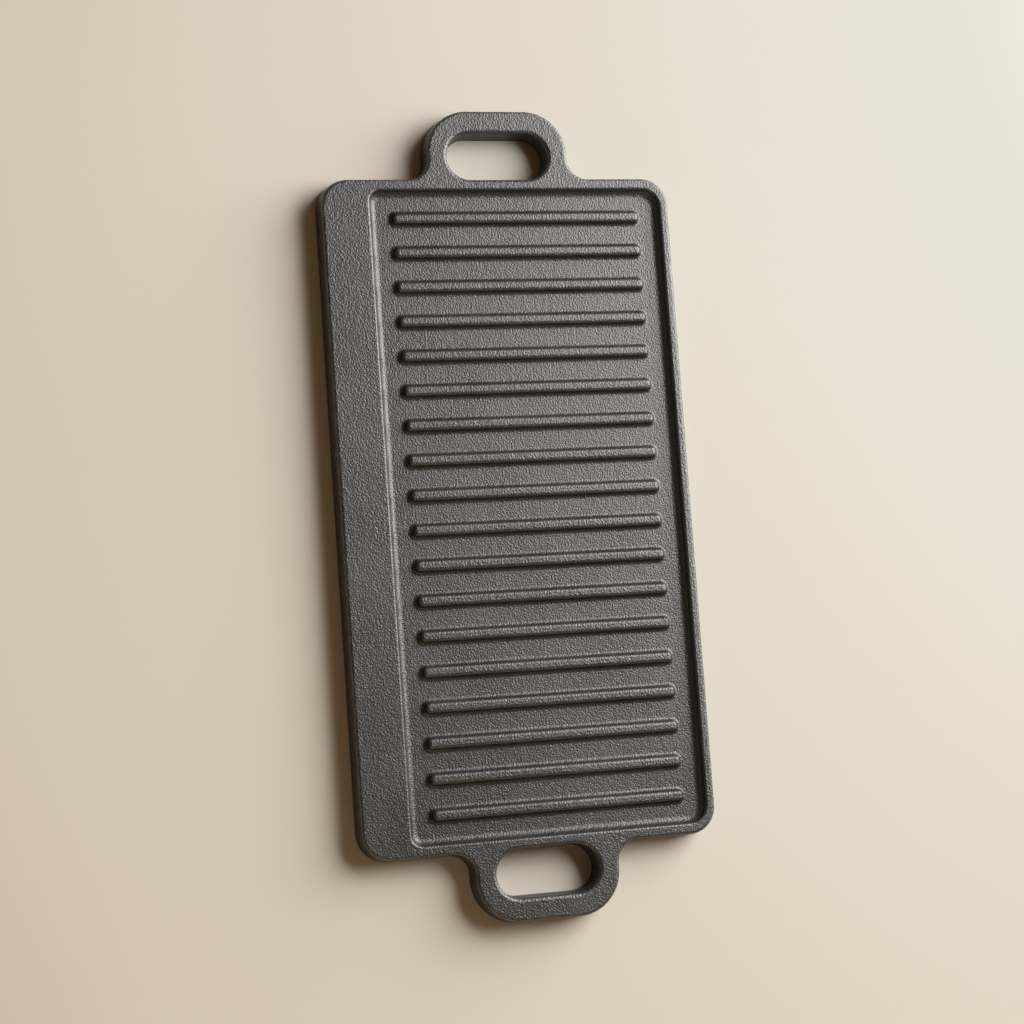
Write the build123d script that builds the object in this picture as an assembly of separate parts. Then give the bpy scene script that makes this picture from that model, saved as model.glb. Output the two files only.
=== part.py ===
from build123d import *
from math import radians, tan
import os

os.makedirs("parts", exist_ok=True)

# A long cast iron griddle, lying on its smooth side with its ridged side up.
# The real griddle is one casting. Each solid here is a named region of it, and neighbours meet face to face.
# Sizes are in millimetres and drafts in degrees from the vertical. X runs from loop handle to loop handle,
# Y from the narrow front rim to the broad rear ledge, and Z up from the surface that the griddle lies on.

# Body
body_length = 421.5
body_width = 227.8
body_height = 16.0
body_corner_radius = 17.0
wall_draft = 5.5
top_edge_round = 2.0
base_edge_round = 1.2

# Pocket that holds the ridges, sunk in the top face
ledge_width = 30.1
front_rim_width = 5.1
end_rim_width = 6.2
pocket_depth = 5.5
pocket_draft = 23.0
pocket_front_corner_radius = 12.0
pocket_ledge_corner_radius = 8.0
pocket_foot_radius = 4.5
pocket_edge_round = 1.5

# Smooth recess in the underside
base_rim_width = 9.0
recess_depth = 5.0
recess_draft = 20.0
recess_corner_radius = 14.0
recess_foot_radius = 3.0
recess_edge_round = 0.8

# Ridges, which run across the griddle
ridge_count = 18
ridge_height = 4.5
ridge_top_width = 5.2
ridge_draft = 20.0
ridge_corner_radius = 2.0
ridge_top_round = 2.2
ridge_foot_radius = 2.6
end_gutter = 18.3
side_gutter = 15.8
root_depth = 1.0
root_margin = 0.5

# Loop handles, set a little towards the front rim
handle_reach = 44.1
handle_width = 91.6
handle_offset = -1.9
handle_corner_radius = 27.0
handle_flare_radius = 13.5
slot_length = 66.8
slot_width = 30.4
slot_bridge = 6.0
slot_draft = 4.0
slot_edge_round = 2.6

# Where the regions of the casting meet
region_margin = 0.7
handle_root_depth = 2.0
handle_root_margin = 2.5
overrun = 5.0
tolerance = 0.01


def foot_run(depth, draft, radius):
    """How far a drafted wall and the fillet at its foot reach in plan from the wall's top edge."""
    return depth * tan(radians(draft)) + radius * tan(radians((90 - draft) / 2))


# Body and handles
half_length = body_length / 2
half_width = body_width / 2
base_spread = body_height * tan(radians(wall_draft))
handle_end = half_length + handle_reach
handle_low = handle_offset - handle_width / 2
handle_high = handle_offset + handle_width / 2

# Pocket and recess
pocket_end = half_length - end_rim_width
pocket_front = half_width - front_rim_width
pocket_rear = half_width - ledge_width
pocket_width = pocket_front + pocket_rear
pocket_centre = (pocket_rear - pocket_front) / 2
pocket_run = foot_run(pocket_depth, pocket_draft, pocket_foot_radius)
floor_level = body_height - pocket_depth
recess_end = half_length + base_spread - base_rim_width
recess_side = half_width + base_spread - base_rim_width
recess_run = foot_run(recess_depth, recess_draft, recess_foot_radius)

# Ridges
ridge_length = pocket_width - 2 * side_gutter
ridge_spread = ridge_height * tan(radians(ridge_draft))
ridge_run = foot_run(ridge_height, ridge_draft, ridge_foot_radius)
root_width = ridge_top_width + 2 * (ridge_run + root_margin)
root_length = ridge_length + 2 * (ridge_run + root_margin)
first_ridge = pocket_end - end_gutter
ridge_pitch = 2 * first_ridge / (ridge_count - 1)

# Region limits
handle_cut = half_length - handle_root_depth
handle_root = handle_flare_radius + handle_root_margin
end_cut = min(pocket_end - pocket_run, recess_end - recess_run) - region_margin
front_cut = min(pocket_front - pocket_run, recess_side - recess_run) - region_margin
corner_cut_end = pocket_end - pocket_front_corner_radius
corner_cut_front = pocket_front - pocket_front_corner_radius
ledge_cut = pocket_rear - pocket_ledge_corner_radius - region_margin
far_end = handle_end + base_spread + overrun
far_side = half_width + base_spread + overrun


def at_level(shape, level):
    """The edges of a shape that lie flat at one height."""
    return shape.edges().filter_by_position(Axis.Z, level - tolerance, level + tolerance)


def body_outline():
    """Plan of the body and both loop handles at the top face, with concave flares where they join."""
    plan = RectangleRounded(body_length, body_width, body_corner_radius)
    plan += Pos(0, handle_offset) * RectangleRounded(2 * handle_end, handle_width, handle_corner_radius)
    joins = [v for v in plan.vertices() if abs(abs(v.X) - half_length) < tolerance
             and abs(abs(v.Y - handle_offset) - handle_width / 2) < tolerance]
    return fillet(joins, handle_flare_radius)


def blank():
    """The casting before it is hollowed, with drafted walls that spread towards the underside."""
    plan = Plane.XY.offset(body_height) * body_outline()
    return extrude(plan, amount=body_height, dir=(0, 0, -1), taper=-wall_draft)


def pocket():
    """The hollow of the ridged side."""
    plan = Pos(0, pocket_centre) * Rectangle(2 * pocket_end, pocket_width)
    plan = fillet(plan.vertices().group_by(Axis.Y)[0], pocket_front_corner_radius)
    plan = fillet(plan.vertices().group_by(Axis.Y)[-1], pocket_ledge_corner_radius)
    plan = Plane.XY.offset(body_height) * plan
    hollow = extrude(plan, amount=pocket_depth, dir=(0, 0, -1), taper=pocket_draft)
    return fillet(at_level(hollow, floor_level), pocket_foot_radius)


def recess():
    """The shallow hollow of the smooth underside."""
    plan = RectangleRounded(2 * recess_end, 2 * recess_side, recess_corner_radius)
    hollow = extrude(plan, amount=recess_depth, taper=recess_draft)
    return fillet(at_level(hollow, recess_depth), recess_foot_radius)


def finger_slot(side):
    """The obround hole of one loop handle, which narrows towards the underside."""
    centre = side * (pocket_end + slot_bridge + slot_width / 2)
    plan = Pos(centre, handle_offset, body_height) * SlotOverall(slot_length, slot_width, rotation=90)
    return extrude(plan, amount=body_height, dir=(0, 0, -1), taper=slot_draft)


def ridge_places():
    """Ridge centres along X, evenly spaced between the two end gutters."""
    return [index * ridge_pitch - first_ridge for index in range(ridge_count)]


def ridge_root():
    """The flat root under one ridge, which fills its seat in the floor."""
    centre_height = floor_level - root_depth / 2
    return Pos(0, pocket_centre, centre_height) * Box(root_width, root_length, root_depth)


def ridge():
    """One ridge at X zero: drafted flanks and ends, softly rounded above and filleted at the foot."""
    ridge_level = floor_level + ridge_height
    plan = RectangleRounded(ridge_top_width, ridge_length, ridge_corner_radius)
    plan = Pos(0, pocket_centre, ridge_level) * plan
    bar = extrude(plan, amount=ridge_height, dir=(0, 0, -1), taper=-ridge_draft)
    bar = fillet(at_level(bar, ridge_level), ridge_top_round)
    bar += ridge_root()
    foot_edges = [e for e in at_level(bar, floor_level)
                  if abs(e.center().X) < ridge_top_width / 2 + ridge_spread + tolerance
                  and abs(e.center().Y - pocket_centre) < ridge_length / 2 + ridge_spread + tolerance]
    return fillet(foot_edges, ridge_foot_radius)


def rim_edges(solid, place):
    """Top edges of the left slot, the pocket or the right slot, for place 0, 1 or 2."""
    top = solid.faces().sort_by(Axis.Z)[-1]
    return top.inner_wires().sort_by(Axis.X)[place].edges()


def casting():
    """The whole griddle without its ridges, with a seat in the floor for the root of each one."""
    solid = blank() - pocket() - recess()
    for side in (-1, 1):
        solid -= finger_slot(side)
    top = solid.faces().sort_by(Axis.Z)[-1]
    solid = fillet(top.outer_wire().edges(), top_edge_round)
    for place, edge_round in enumerate((slot_edge_round, pocket_edge_round, slot_edge_round)):
        solid = fillet(rim_edges(solid, place), edge_round)
    base = solid.faces().sort_by(Axis.Z)[0]
    outer_edges = base.outer_wire().edges()
    solid = fillet(outer_edges, base_edge_round)
    base = solid.faces().sort_by(Axis.Z)[0]
    inner_edges = [e for wire in base.inner_wires() for e in wire.edges()]
    solid = fillet(inner_edges, recess_edge_round)
    for centre in ridge_places():
        solid -= Pos(centre) * ridge_root()
    return solid


def block(x_low, x_high, y_low, y_high):
    """A block that is taller than the casting, to mark out one region of it in plan."""
    tall = body_height + 2 * overrun
    centre = Pos((x_low + x_high) / 2, (y_low + y_high) / 2, body_height / 2)
    return centre * Box(x_high - x_low, y_high - y_low, tall)


def end_blocks(side):
    """The blocks of one end of the griddle: its loop handle, its end rim and its front corner."""
    handle = block(handle_cut, far_end, handle_low - handle_root, handle_high + handle_root)
    corner = block(corner_cut_end, far_end, -far_side, -corner_cut_front) - handle
    rim = block(end_cut, far_end, -corner_cut_front, ledge_cut) - handle
    blocks = {"handle": handle, "end_rim": rim, "front_corner": corner}
    if side < 0:
        blocks = {name: mirror(shape, about=Plane.YZ) for name, shape in blocks.items()}
    return blocks


def regions():
    """Every region of the casting by name, as blocks that share faces and never overlap."""
    blocks = {"front_rim": block(-corner_cut_end, corner_cut_end, -far_side, -front_cut)}
    ledge = block(-far_end, far_end, ledge_cut, far_side)
    floor = block(-end_cut, end_cut, -front_cut, ledge_cut)
    for side, word in ((-1, "left"), (1, "right")):
        for name, shape in end_blocks(side).items():
            blocks[f"{word}_{name}"] = shape
        ledge -= blocks[f"{word}_handle"]
        floor -= blocks[f"{word}_front_corner"]
    blocks["rear_ledge"] = ledge
    blocks["griddle_floor"] = floor
    return blocks


def main():
    whole = casting()
    for name, shape in regions().items():
        export_step(whole & shape, f"parts/{name}.step")
    bar = ridge()
    for number, centre in enumerate(ridge_places(), start=1):
        export_step(Pos(centre) * bar, f"parts/ridge_{number:02d}.step")


main()
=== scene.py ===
import math

import bpy
from mathutils import Matrix, Vector

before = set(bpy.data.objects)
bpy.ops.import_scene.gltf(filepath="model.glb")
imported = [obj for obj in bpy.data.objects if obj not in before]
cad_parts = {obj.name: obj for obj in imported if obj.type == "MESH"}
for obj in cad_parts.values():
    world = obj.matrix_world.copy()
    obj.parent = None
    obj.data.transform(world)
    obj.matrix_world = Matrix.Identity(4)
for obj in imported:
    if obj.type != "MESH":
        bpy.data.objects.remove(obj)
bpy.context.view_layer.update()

# The photograph's viewing angle: places in metres in the griddle's frame, the roll in degrees, the lens in millimetres.
CAMERA_PLACE = Vector((-0.1248, 0.3764, 1.3176))
CAMERA_TARGET = Vector((-0.0020, 0.0055, 0.0160))
CAMERA_ROLL = 4.09
CAMERA_LENS = 76.3
SENSOR_WIDTH = 36.0

# One soft lamp stands low beyond the front rim, towards the right handle. A pale wall beyond the left handle and
# a low one before the front rim throw a little of its light back, and a dim warm room fills the rest of the shade.
LAMP_PLACE = Vector((0.46, -0.95, 0.60))
LAMP_SIZE = (1.05, 1.3)
LAMP_POWER = 41.0
LAMP_COLOUR = "#ffffff"
END_PLACE = Vector((-1.30, 0.30, 0.45))
END_SIZE = (1.2, 0.6)
END_POWER = 2.5
FRONT_PLACE = Vector((-0.20, -1.30, 0.25))
FRONT_SIZE = (1.0, 0.4)
FRONT_POWER = 1.2
FILL_COLOUR = "#ffe6c8"
ROOM_COLOUR = "#ffc98c"
ROOM_LIGHT = 0.10

# The floor, which looks evenly pale: the lamp fades across it, so its paint gets lighter away from the lamp.
# Well away from the griddle the floor passes into one plain backdrop colour, which the far walls have too.
FLOOR_REACH = 6.0
BACKDROP_HEIGHT = 1.5
BACKDROP_COLOUR = "#e2d8c8"
BACKDROP_START = 0.46
BACKDROP_FULL = 0.72
FLOOR_NEAR_COLOUR = "#9c9a93"
FLOOR_FAR_COLOUR = "#ece3d2"
FLOOR_NEAR = 0.62
FLOOR_FAR = 1.42


def linear(hex_colour):
    """An sRGB hex colour as linear RGBA."""
    values = [int(hex_colour[i:i + 2], 16) / 255 for i in (1, 3, 5)]
    return [v / 12.92 if v <= 0.04045 else ((v + 0.055) / 1.055) ** 2.4 for v in values] + [1.0]


def per_metre(millimetres):
    """The scale of a pattern, in repeats per metre, from its real width."""
    return 1000 / millimetres


def add_camera():
    data = bpy.data.cameras.new("camera")
    data.sensor_width = SENSOR_WIDTH
    data.lens = CAMERA_LENS
    camera = bpy.data.objects.new("camera", data)
    bpy.context.scene.collection.objects.link(camera)
    forward = (CAMERA_TARGET - CAMERA_PLACE).normalized()
    level = (Vector((1, 0, 0)) - forward * forward.x).normalized()
    up = Matrix.Rotation(math.radians(CAMERA_ROLL), 3, forward) @ level
    right = forward.cross(up)
    camera.matrix_world = Matrix.Translation(CAMERA_PLACE) @ Matrix((right, up, -forward)).transposed().to_4x4()
    bpy.context.scene.camera = camera


def add_lamp(name, place, size, power, colour):
    """A soft rectangular lamp that faces the middle of the griddle."""
    data = bpy.data.lights.new(name, "AREA")
    data.shape = "RECTANGLE"
    data.size, data.size_y = size
    data.energy = power
    data.color = linear(colour)[:3]
    lamp = bpy.data.objects.new(name, data)
    bpy.context.scene.collection.objects.link(lamp)
    lamp.location = place
    lamp.rotation_mode = "QUATERNION"
    lamp.rotation_quaternion = (-place).to_track_quat("-Z", "Y")


def add_room():
    world = bpy.data.worlds.new("room")
    bpy.context.scene.world = world
    world.use_nodes = True
    glow = world.node_tree.nodes["Background"]
    glow.inputs["Color"].default_value = linear(ROOM_COLOUR)
    glow.inputs["Strength"].default_value = ROOM_LIGHT


def new_material(name):
    """A material with its shader node."""
    material = bpy.data.materials.new(name)
    material.use_nodes = True
    return material, material.node_tree.nodes["Principled BSDF"]


def add_node(material, kind, settings=None, links=None):
    """One shader node, with its settings, and the sockets that feed it by input name or number."""
    node = material.node_tree.nodes.new(kind)
    for name, value in (settings or {}).items():
        if hasattr(node, str(name)):
            setattr(node, name, value)
        else:
            node.inputs[name].default_value = value
    for name, source in (links or {}).items():
        material.node_tree.links.new(source, node.inputs[name])
    return node


def multiply(material, first, second):
    return add_node(material, "ShaderNodeMath", {"operation": "MULTIPLY"}, {0: first, 1: second}).outputs["Value"]


def spread(material, value, low, high, to_low=0.0, to_high=1.0):
    """A value mapped smoothly from one range to another."""
    return add_node(material, "ShaderNodeMapRange",
                    {"interpolation_type": "SMOOTHSTEP", "From Min": low, "From Max": high,
                     "To Min": to_low, "To Max": to_high}, {"Value": value}).outputs["Result"]


def mixed_colour(material, share, first, second):
    """The first colour, which is a socket or a hex colour, passing into the second by a share from 0 to 1."""
    mix = add_node(material, "ShaderNodeMix", {"data_type": "RGBA"}, {"Factor": share})
    for socket, colour in zip([s for s in mix.inputs if s.type == "RGBA"], (first, second)):
        if isinstance(colour, str):
            socket.default_value = linear(colour)
        else:
            material.node_tree.links.new(colour, socket)
    return [s for s in mix.outputs if s.type == "RGBA"][0]


def painted_plaster():
    """Matt pale paint, warm and even, with no sheen of its own, that passes into a plain backdrop."""
    material, shader = new_material("painted plaster")
    shader.inputs["Roughness"].default_value = 0.9
    place = add_node(material, "ShaderNodeTexCoord").outputs["Object"]
    from_lamp = add_node(material, "ShaderNodeVectorMath",
                         {"operation": "DISTANCE", 1: (LAMP_PLACE.x, LAMP_PLACE.y, 0)}, {0: place})
    fade = add_node(material, "ShaderNodeMapRange", {"From Min": FLOOR_NEAR, "From Max": FLOOR_FAR},
                    {"Value": from_lamp.outputs["Value"]})
    paint = mixed_colour(material, fade.outputs["Result"], FLOOR_NEAR_COLOUR, FLOOR_FAR_COLOUR)
    material.node_tree.links.new(paint, shader.inputs["Base Color"])

    from_griddle = add_node(material, "ShaderNodeVectorMath", {"operation": "LENGTH"}, {0: place})
    far = spread(material, from_griddle.outputs["Value"], BACKDROP_START, BACKDROP_FULL)
    path = add_node(material, "ShaderNodeLightPath").outputs
    seen = path["Is Camera Ray"]
    for ray in ("Is Glossy Ray", "Is Transmission Ray"):
        seen = add_node(material, "ShaderNodeMath", {"operation": "ADD"}, {0: seen, 1: path[ray]}).outputs["Value"]
    plain = add_node(material, "ShaderNodeEmission", {"Color": linear(BACKDROP_COLOUR)})
    surface = add_node(material, "ShaderNodeMixShader",
                       links={0: multiply(material, far, seen), 1: shader.outputs["BSDF"], 2: plain.outputs[0]})
    output = material.node_tree.nodes["Material Output"]
    material.node_tree.links.new(surface.outputs[0], output.inputs["Surface"])
    return material


def add_floor():
    """The floor and the four far walls round it, as one mesh."""
    r = FLOOR_REACH
    base = [(-r, -r), (r, -r), (r, r), (-r, r)]
    points = [(x, y, 0) for x, y in base] + [(x, y, BACKDROP_HEIGHT) for x, y in base]
    walls = [(n, n + 4, (n + 1) % 4 + 4, (n + 1) % 4) for n in range(4)]
    mesh = bpy.data.meshes.new("floor")
    mesh.from_pydata(points, [], [(0, 1, 2, 3)] + walls)
    floor = bpy.data.objects.new("floor", mesh)
    bpy.context.scene.collection.objects.link(floor)
    mesh.materials.append(painted_plaster())


# Sand cast skin, in millimetres: the print of the mould's sand, and the slow unevenness of a rammed mould.
SAND_WIDTH = 1.05
SAND_DEPTH = 0.32
CLUMP_WIDTH = 3.2
CLUMP_DEPTH = 0.15
PATCH_WIDTH = 38.0
# Wear and painted highlight, also in millimetres: it starts above the lower height and is full above the upper one.
RUB_HIGHLIGHT_WIDTH = 7.0
RUB_HIGHLIGHT_LOW = 12.5
RUB_HIGHLIGHT_HIGH = 14.0


def rub_and_highlight(material, place, flat_share):
    """How much spatulas and cloths have worn the skin smoother, and how much painted highlight lightens it: raised
    rounded edges in full, flats by their share.
    """
    height = add_node(material, "ShaderNodeSeparateXYZ", links={"Vector": place}).outputs["Z"]
    normal = add_node(material, "ShaderNodeNewGeometry").outputs["Normal"]
    facing = add_node(material, "ShaderNodeSeparateXYZ", links={"Vector": normal}).outputs["Z"]
    raised = spread(material, height, RUB_HIGHLIGHT_LOW / 1000, RUB_HIGHLIGHT_HIGH / 1000)
    edge = multiply(material, spread(material, facing, 0.85, 0.99, 1.0, flat_share),
                    spread(material, facing, 0.40, 0.60))
    uneven = add_node(material, "ShaderNodeTexNoise", {"Scale": per_metre(RUB_HIGHLIGHT_WIDTH), "Detail": 2.0}, {"Vector": place})
    broken = spread(material, uneven.outputs["Fac"], 0.35, 0.65, 0.3, 1.0)
    return multiply(material, multiply(material, raised, edge), broken)


def seasoned_iron(name, flat_share):
    """Sand cast grey iron with oil baked onto it: a nearly neutral dark grey with a broad satin sheen.

    The sand's print breaks the sheen into fine sparkle, and the oil lies a little thicker in patches.
    Where the skin is worn it is a little smoother, and raised rounded edges and crests are painted a shade lighter as a
    painted highlight.
    """
    material, shader = new_material(name)
    shader.inputs["Metallic"].default_value = 0.94
    place = add_node(material, "ShaderNodeTexCoord").outputs["Object"]
    sand = add_node(material, "ShaderNodeTexNoise",
                    {"Scale": per_metre(SAND_WIDTH), "Detail": 0.3}, {"Vector": place})
    clump = add_node(material, "ShaderNodeTexNoise",
                     {"Scale": per_metre(CLUMP_WIDTH), "Detail": 1.0, "Roughness": 0.5}, {"Vector": place})
    patch = add_node(material, "ShaderNodeTexNoise",
                     {"Scale": per_metre(PATCH_WIDTH), "Detail": 3.0, "Roughness": 0.6}, {"Vector": place})
    fine = add_node(material, "ShaderNodeMath", {"operation": "MULTIPLY", 1: SAND_DEPTH / 1000},
                    {0: sand.outputs["Fac"]})
    height = add_node(material, "ShaderNodeMath", {"operation": "MULTIPLY_ADD", 1: CLUMP_DEPTH / 1000},
                      {0: clump.outputs["Fac"], 2: fine.outputs["Value"]})
    bump = add_node(material, "ShaderNodeBump", {"Strength": 1.0, "Distance": 1.0},
                    {"Height": height.outputs["Value"]})
    material.node_tree.links.new(bump.outputs["Normal"], shader.inputs["Normal"])
    oil = add_node(material, "ShaderNodeMapRange",
                   {"From Min": 0.3, "From Max": 0.7, "To Min": 0.455, "To Max": 0.525},
                   {"Value": patch.outputs["Fac"]})
    # The mask for smoother worn skin and painted highlight on raised rounded edges and crests.
    rubbed_and_highlit = rub_and_highlight(material, place, flat_share)
    sheen = add_node(material, "ShaderNodeMath", {"operation": "MULTIPLY_ADD", 1: -0.03},
                     {0: rubbed_and_highlit, 2: oil.outputs["Result"]})
    material.node_tree.links.new(sheen.outputs["Value"], shader.inputs["Roughness"])
    tint = add_node(material, "ShaderNodeValToRGB", links={"Fac": patch.outputs["Fac"]})
    tint.color_ramp.elements[0].position = 0.3
    tint.color_ramp.elements[0].color = linear("#575756")
    tint.color_ramp.elements[1].position = 0.7
    tint.color_ramp.elements[1].color = linear("#5e5e5d")
    # Raised rounded edges and crests are painted a shade lighter here: a painted highlight, not a colour of the iron.
    skin = mixed_colour(material, rubbed_and_highlit, tint.outputs["Color"], "#646361")
    material.node_tree.links.new(skin, shader.inputs["Base Color"])
    return material


def finish_casting():
    """Every region of the casting keeps its shape. The ridges' crests get more wear and more painted highlight than the
    other flats.
    """
    plain = seasoned_iron("seasoned sand cast iron", 0.1)
    crested = seasoned_iron("seasoned sand cast iron, rubbed and highlit crests", 0.3)
    for name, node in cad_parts.items():
        node.data.materials.clear()
        node.data.materials.append(crested if name.startswith("ridge_") else plain)


add_camera()
add_lamp("soft_lamp", LAMP_PLACE, LAMP_SIZE, LAMP_POWER, LAMP_COLOUR)
add_lamp("end_wall", END_PLACE, END_SIZE, END_POWER, FILL_COLOUR)
add_lamp("front_wall", FRONT_PLACE, FRONT_SIZE, FRONT_POWER, FILL_COLOUR)
add_room()
add_floor()
finish_casting()
bpy.context.scene.view_settings.view_transform = "Standard"
